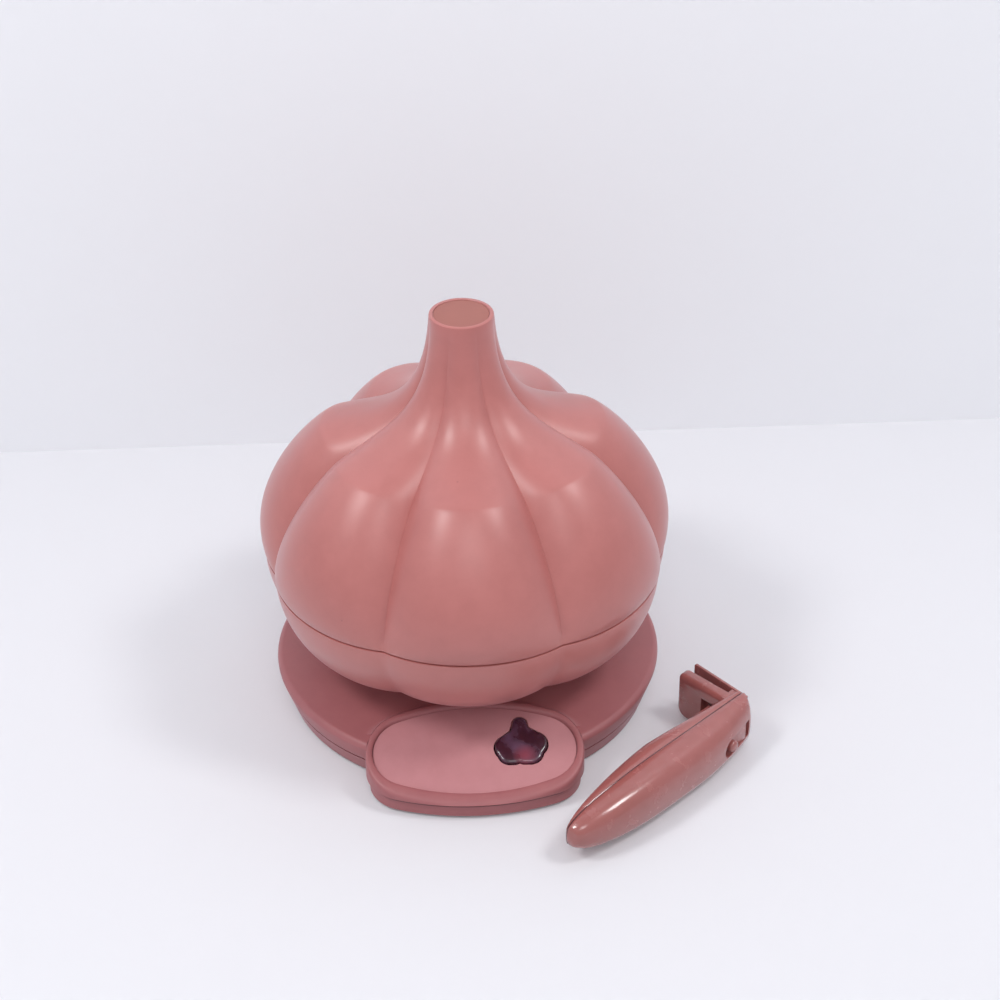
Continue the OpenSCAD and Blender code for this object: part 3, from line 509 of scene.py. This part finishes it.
def garlic_outline(count):
    """Points round the outline, found outwards from a point in its middle, then evened and softened."""
    points = []
    for i in range(count):
        angle = 2 * math.pi * i / count
        reach = 4.0
        while inside_garlic(reach * math.cos(angle), 2 + reach * math.sin(angle)):
            reach += 0.02
        points.append((reach * math.cos(angle), 2 + reach * math.sin(angle)))
    for _ in range(6):
        points = [tuple(0.5 * b + 0.25 * (a + c)
                        for a, b, c in zip(points[i - 1], points[i], points[(i + 1) % count]))
                  for i in range(count)]
    return points


def drawn_in(outline, inset):
    """The outline moved inwards, square to itself."""
    moved = []
    for i, (x, y) in enumerate(outline):
        (ax, ay), (bx, by) = outline[i - 2], outline[(i + 2) % len(outline)]
        length = math.hypot(bx - ax, by - ay)
        moved.append((x - inset * (by - ay) / length, y + inset * (bx - ax) / length))
    return moved


garlic = garlic_outline(240)
levels = [(-1.6, flange_top - 1), (-1.6, flange_top - 0.15), (-1.45, flange_top), (0, flange_top), (0, 0.35),
          (0.1, 0.75), (0.32, 1.08), (0.65, 1.3), (1.1, 1.43), (1.7, button_proud)]
rings = [[on_panel(button_x + x, y, z) for x, y in drawn_in(garlic, inset)] for inset, z in levels]
button = loft("button_shell", rings)
stub = drum(2, -7.0, -4.2)
stub.data.transform(Matrix.Translation(Vector(on_panel(button_x, 0, 0)) * MM) @ Matrix.Rotation(panel_tilt, 4, "X"))
combine(button, stub, "UNION")
smooth(button, 50)
mount(button, acrylic, "button", "button_plastic", "power_button")

# --- Inside the base ---
# Switch, lamp and their board under the button, the terminal block, and the screws.
zinc = plain_finish("zinc-plated steel", "B9BBBE", 0.35, metallic=1.0, grain_mm=0.3)
nylon = plain_finish("moulded black nylon", "222223", 0.5)
for node in ("push_switch", "terminal_block", "thermostat"):
    dress_node(node, nylon)
for node in ("board_screws", "cover_screws", "bowl_screws", "heater_screws", "thermostat_screws", "grip_screws"):
    dress_node(node, zinc)
dress_node("switch_board", plain_finish("bare circuit board", "3B6B4A", 0.4, grain_mm=0.8))
dress_node("indicator_lamp", plain_finish("amber lamp glass", "F08A3C", 0.08, grain_mm=2))

# --- Heater ---
# Cast aluminium plate with a steel-sheathed element, a steel heat shield, a fuse and its strap.
steel = plain_finish("rolled stainless steel", "C3C5C8", 0.28, metallic=1.0, grain_mm=0.25)
for node in ("heating_element", "heat_shield", "thermal_fuse", "fuse_clip"):
    dress_node(node, steel)
cast = plain_finish("sand-cast aluminium", "A7A9AB", 0.5, metallic=1.0, grain_mm=0.9, grain_depth=0.08)
dress_node("heater_plate", cast)

# --- Roasting pan ---
# Pressed aluminium with a dark non-stick coating and a rolled rim.
dress_node("roasting_pan", plain_finish("dark non-stick coating", "2B2A2C", 0.42, grain_mm=0.7, grain_depth=0.03))

# --- Bowl and lid ---
# Two thin polypropylene shells with seven cloves. The lid drops on the bowl with a lip inside it.
lobes, crest_r, groove_r, seam_z, lid_h, stem_r, bulb_wall, lobe_power = 7, 92, 88.6, 75, 120, 14.1, 2.6, 2.4
seam_gap, cap_r, cap_t = 0.7, 12, 2.2
stem_top_z = seam_z + lid_h
dome_groove = [(groove_r, seam_z), (groove_r - 2.6, seam_z + 16), (groove_r - 11, seam_z + 37),
               (groove_r - 34, seam_z + 56)]
stem_groove = [dome_groove[3], (groove_r - 51, seam_z + 70), (stem_r + 0.1, stem_top_z - 48), (stem_r, stem_top_z)]
dome_crest = [(crest_r, seam_z), (crest_r + 11, seam_z + 27.3), (crest_r - 24.3, seam_z + 60.6),
              (crest_r - 28.1, seam_z + 61.8)]
stem_crest = [dome_crest[3], (crest_r - 49.5, seam_z + 68.7), (stem_r + 2.7, stem_top_z - 48.5), (stem_r, stem_top_z)]
bowl_groove = [(neck_r, deck_z + 5), (neck_r + 20, deck_z + 6.5), (groove_r - 1, seam_z - 22), (groove_r, seam_z)]
bowl_crest = [(neck_r, deck_z + 5), (neck_r + 25, deck_z + 5.5), (crest_r - 1, seam_z - 24), (crest_r, seam_z)]


def cubic(curve, t, inset=0):
    """Point of a cubic curve, moved square to it towards the bulb's inside."""
    u = 1 - t
    point = [u ** 3 * a + 3 * u * u * t * b + 3 * u * t * t * c + t ** 3 * d for a, b, c, d in zip(*curve)]
    if inset:
        slope = [3 * u * u * (b - a) + 6 * u * t * (c - b) + 3 * t * t * (d - c) for a, b, c, d in zip(*curve)]
        length = math.hypot(*slope)
        point = [point[0] - inset * slope[1] / length, point[1] + inset * slope[0] / length]
    return point


def lobed_shell(name, stations, columns=36):
    """A shell of seven cloves through stations, each a groove point and a crest point [radius, height]."""
    rings = []
    for groove, crest in stations:
        ring = []
        for j in range(lobes * columns):
            t = 2 * (j % columns) / columns - 1
            share = 1 - abs(t) ** lobe_power
            r = groove[0] + (crest[0] - groove[0]) * share
            z = groove[1] + (crest[1] - groove[1]) * share
            angle = 2 * math.pi * (j / columns - 0.5) / lobes - math.pi / 2
            ring.append((r * math.cos(angle), r * math.sin(angle), z))
        rings.append(ring)
    return loft(name, rings, closed=True)


def flat(r, z):
    return (r, z), (r, z)


def along(groove, crest, start, end, steps, inset=0):
    return [(cubic(groove, t, inset), cubic(crest, t, inset))
            for t in [start + (end - start) * i / steps for i in range(steps + 1)]]


def shift(station, dr, dz):
    return tuple((p[0] + dr, p[1] + dz) for p in station)


lip = bulb_wall * 0.55
seat = stem_top_z - cap_t - 0.4
edge = (dome_groove[0], dome_crest[0])
lid = lobed_shell("lid_shell", (
    [shift(edge, -0.6, seam_gap), shift(edge, -0.15, seam_gap + 0.12), shift(edge, 0, seam_gap + 0.5)]
    + along(dome_groove, dome_crest, 0.04, 1, 24)
    + along(stem_groove, stem_crest, 0.04, 0.97, 26)
    + [flat(stem_r, stem_top_z - 0.8), flat(stem_r - 0.2, stem_top_z - 0.25), flat(stem_r - 0.7, stem_top_z)]
    + [flat(cap_r + 0.4, stem_top_z), flat(cap_r + 0.15, stem_top_z - 0.3), flat(cap_r + 0.15, seat)]
    + [flat(cap_r - 2.6, seat), flat(cap_r - 2.6, seat - 4)]
    + along(stem_groove, stem_crest, 0.7, 0.2, 10, bulb_wall)
    + along(dome_groove, dome_crest, 0.9, 0.1, 12, bulb_wall)
    + [shift(edge, -bulb_wall, 3), shift(edge, -bulb_wall, 0), shift(edge, -lip, 0), shift(edge, -lip, seam_gap)]))
smooth(lid)
mount(lid, clay, "housing", "body_plastic", "lid")

rim = (bowl_groove[3], bowl_crest[3])
bowl = lobed_shell("bowl_shell", (
    [flat(neck_r, deck_z), flat(neck_r, deck_z + 4)]
    + along(bowl_groove, bowl_crest, 0.06, 0.985, 24)
    + [shift(rim, -0.12, -0.12), shift(rim, -0.5, 0), shift(rim, -bulb_wall, 0)]
    + along(bowl_groove, bowl_crest, 0.9, 0.2, 10, bulb_wall)
    + [flat(neck_r - bulb_wall, deck_z + 6.5), flat(neck_r - bulb_wall, deck_z + 2.5)]
    + [flat(30, deck_z + 2.5), flat(30, deck_z)]))
smooth(bowl)
mount(bowl, clay, "housing", "body_plastic", "bowl")

# --- Stem cap ---
# Moulded disc pressed into the top of the stem.
cap_plastic = clay_plastic("matte moulded disc", "A66A60", "9E6258", roughness=0.6)
dress_node("stem_cap", cap_plastic)

# --- Handle ---
# Two glossy moulded halves screwed together, each carrying one plate of the jaw, and a sliding thumb latch.
# Polished ABS; its fine scratches and rubbed spots near the tip are not drawn.
gloss_clay = clay_plastic("polished moulded ABS", "A4605C", "9B5853", roughness=0.24, grain_depth=0.003, coat=0.7,
                          parting=True)
grip_l, grip_w, grip_up, grip_low, grip_mid = 115.5, 26, 14.5, 12.6, 13
jaw_reach, jaw_floor, jaw_splay = 30.5, 5, math.radians(4)
jaw_out = grip_l - 1.4
jaw_gap_x = jaw_out - 2.9
jaw_in = jaw_gap_x - 5.5
recess_x, recess_l, recess_w, recess_floor = grip_l - 26.7, 21.5, 9, 7
gap, latch_travel = 0.3, 3.5
latch_x = recess_x + latch_travel + gap
neck_x = latch_x + 3.4
channel_x = neck_x - latch_travel - gap - 0.1
lying = Matrix.Translation((handle_x * MM, -handle_y * MM, 0)) @ Matrix.Rotation(handle_turn, 4, "Z")


def rise_to(x, length, power):
    return math.sin(math.pi / 2 * min(1, (x + 0.3) / length)) ** power


def grip_half(name, side):
    """Half of the grip from its round tip to the jaw; its parting edge is broken by a small chamfer."""
    rings = []
    stations = [0, 0.12, 0.35, 0.8, 1.4] + [2 + 2.2 * i for i in range(51)] + [113.6, 114.4, 115, 115.35, grip_l]
    for x in stations:
        half_w = grip_w / 2 * rise_to(x, 58, 0.3)
        if side < 0:
            thick = grip_up * rise_to(x, 48, 0.32) - max(0, x - 70) ** 2 * 0.0036
            thick -= max(0, x - grip_l + 3.5) ** 2 * 0.25
        else:
            thick = 0.4 + (grip_low - 0.4) * rise_to(x, 88, 0.72) - max(0, x - 60) * 0.14
        tip = min(1, (x / 0.8) ** 0.4) if x > 0 else 0.35
        thick *= tip
        half_w *= tip * (1 - 0.04 * max(0, (x - 113) / 2.5) ** 2)
        ring = []
        for k in range(49):
            angle = math.pi * k / 48
            y = side * thick * math.sin(angle) ** 0.7 if 0 < k < 48 else 0
            c = math.cos(angle)
            z = half_w * math.copysign(abs(c) ** 0.8, c)
            if k in (0, 48):
                z *= 1 - 0.5 / half_w
            ring.append((x, y, grip_mid - z))
        rings.append(ring)
    return loft(name, rings)


def block(x0, x1, y0, y1, z0, z1):
    """A plain block between two corners."""
    bpy.ops.mesh.primitive_cube_add(size=1, location=((x0 + x1) / 2 * MM, (y0 + y1) / 2 * MM, (z0 + z1) / 2 * MM))
    piece = bpy.context.object
    piece.scale = ((x1 - x0) * MM, (y1 - y0) * MM, (z1 - z0) * MM)
    settle(piece)
    return piece


def post(x, z, r, y0, y1, steps=64):
    """A round cutter or boss that runs across the parting plane."""
    bpy.ops.mesh.primitive_cylinder_add(vertices=steps, radius=r * MM, depth=(y1 - y0) * MM,
                                        rotation=(math.pi / 2, 0, 0),
                                        location=(x * MM, (y0 + y1) / 2 * MM, z * MM))
    piece = bpy.context.object
    settle(piece)
    return piece


def plate(name, x0, x1, y0, reach, low_r, high_r, soft):
    """A jaw plate with its two outer corners rounded and the edges of its near face softened."""
    def outline(inset):
        points = [(y0, 0.8 + inset)]
        for cy, cz, r, a0 in ((reach - low_r, 0.8 + low_r, low_r, -90),
                              (reach - high_r, grip_w - 0.8 - high_r, high_r, 0)):
            for k in range(13):
                angle = math.radians(a0 + 90 * k / 12)
                points.append((cy + (r - inset) * math.cos(angle), cz + (r - inset) * math.sin(angle)))
        return points + [(y0, grip_w - 0.8 - inset)]
    levels = [(x0 + soft * (1 - math.sin(math.pi / 2 * k / 8)), soft * (1 - math.cos(math.pi / 2 * k / 8)))
              for k in range(8, -1, -1)]
    levels += [(x1 - 0.35, 0), (x1 - 0.1, 0.1), (x1, 0.35)]
    return loft(name, [[(x, y, z) for y, z in outline(inset)] for x, inset in levels])


upper = grip_half("grip_upper_shell", -1)
outer_plate = plate("outer_plate", 0, grip_l - jaw_out, -3, jaw_reach - 1, 1, 1, 0.35)
outer_plate.data.transform(Matrix.Translation((jaw_out * MM, 0, 0)) @ Matrix.Rotation(-jaw_splay, 4, "Z"))
combine(upper, outer_plate, "UNION")
combine(upper, block(recess_x + recess_w / 2, recess_x + recess_l, -20, -recess_floor, grip_mid - recess_w / 2,
                     grip_mid + recess_w / 2), "DIFFERENCE")
combine(upper, post(recess_x + recess_w / 2, grip_mid, recess_w / 2, -20, -recess_floor), "DIFFERENCE")
combine(upper, block(channel_x, channel_x + 5 + latch_travel + 2 * gap + 0.2, -20, 2, grip_mid - 2.3, grip_mid + 2.3),
        "DIFFERENCE")
for x in (26, 72):
    combine(upper, post(x, grip_mid, 1.3, -9, 1, 32), "DIFFERENCE")

lower = grip_half("grip_lower_shell", 1)
combine(lower, block(jaw_in + 0.7, grip_l + 0.7, 0.04, jaw_floor, 0.95, grip_w - 0.95), "UNION")
combine(lower, plate("inner_plate", jaw_in, jaw_gap_x, 1, jaw_reach, 6, 3, 2.4), "UNION")
combine(lower, block(channel_x - 1.8, jaw_in + 1, 1, 10.6, grip_mid - 4.9, grip_mid + 4.9), "UNION")
combine(lower, block(jaw_gap_x + 0.02, jaw_gap_x + 20, jaw_floor - 0.01, 45, -1, 30), "DIFFERENCE")
combine(lower, block(jaw_out - 0.1, jaw_out + 20, -5, 40, -5, 40), "DIFFERENCE")
combine(lower, block(channel_x, jaw_in + 1, -1, 9.6, grip_mid - 3.9, grip_mid + 3.9), "DIFFERENCE")
combine(lower, block(jaw_in - 0.5, jaw_in + 20, 6, 16, grip_mid - 5.5, grip_mid + 5.5), "DIFFERENCE")
for x in (26, 72):
    combine(lower, post(x, grip_mid, 1.8, -1, 29, 32), "DIFFERENCE")
    combine(lower, post(x, grip_mid, 3.3, 5, 35, 32), "DIFFERENCE")

# The latch: a strip with a round end, its thumb knob, the neck and the nose
strip_y, strip_w = -recess_floor - gap, recess_w - 2 * gap - 0.1
latch = block(latch_x + strip_w / 2, latch_x + 14.6, strip_y - 2, strip_y,
              grip_mid - strip_w / 2, grip_mid + strip_w / 2)
latch.name = "latch_shell"
combine(latch, post(latch_x + strip_w / 2, grip_mid, strip_w / 2, strip_y - 2, strip_y), "UNION")
knob = spin_section("knob", [(0, -0.5), (2.7, -0.5), (2.7, 2.6), (2.5, 3.4), (2.0, 3.95), (1.2, 4.15), (0, 4.2)], 48)
knob.data.transform(Matrix.Translation(((latch_x + 2.7) * MM, (strip_y - 2) * MM, grip_mid * MM))
                    @ Matrix.Rotation(math.pi / 2, 4, "X"))
combine(latch, knob, "UNION")
combine(latch, block(neck_x, neck_x + 5, strip_y - 0.5, 7, grip_mid - 2, grip_mid + 2), "UNION")
combine(latch, block(neck_x, jaw_gap_x + 1.2, 6.3, 9.3, grip_mid - 3.5, grip_mid + 3.5), "UNION")

for piece, body, node in ((upper, "housing", "grip_upper"), (lower, "housing", "grip_lower"),
                          (latch, "latch", "latch_slide")):
    apply_modifier(piece, "BEVEL", width=0.25 * MM, segments=2, limit_method="ANGLE", angle_limit=math.radians(50))
    piece.data.transform(lying)
    smooth(piece, 40)
    mount(piece, gloss_clay, body, "handle_plastic", node)
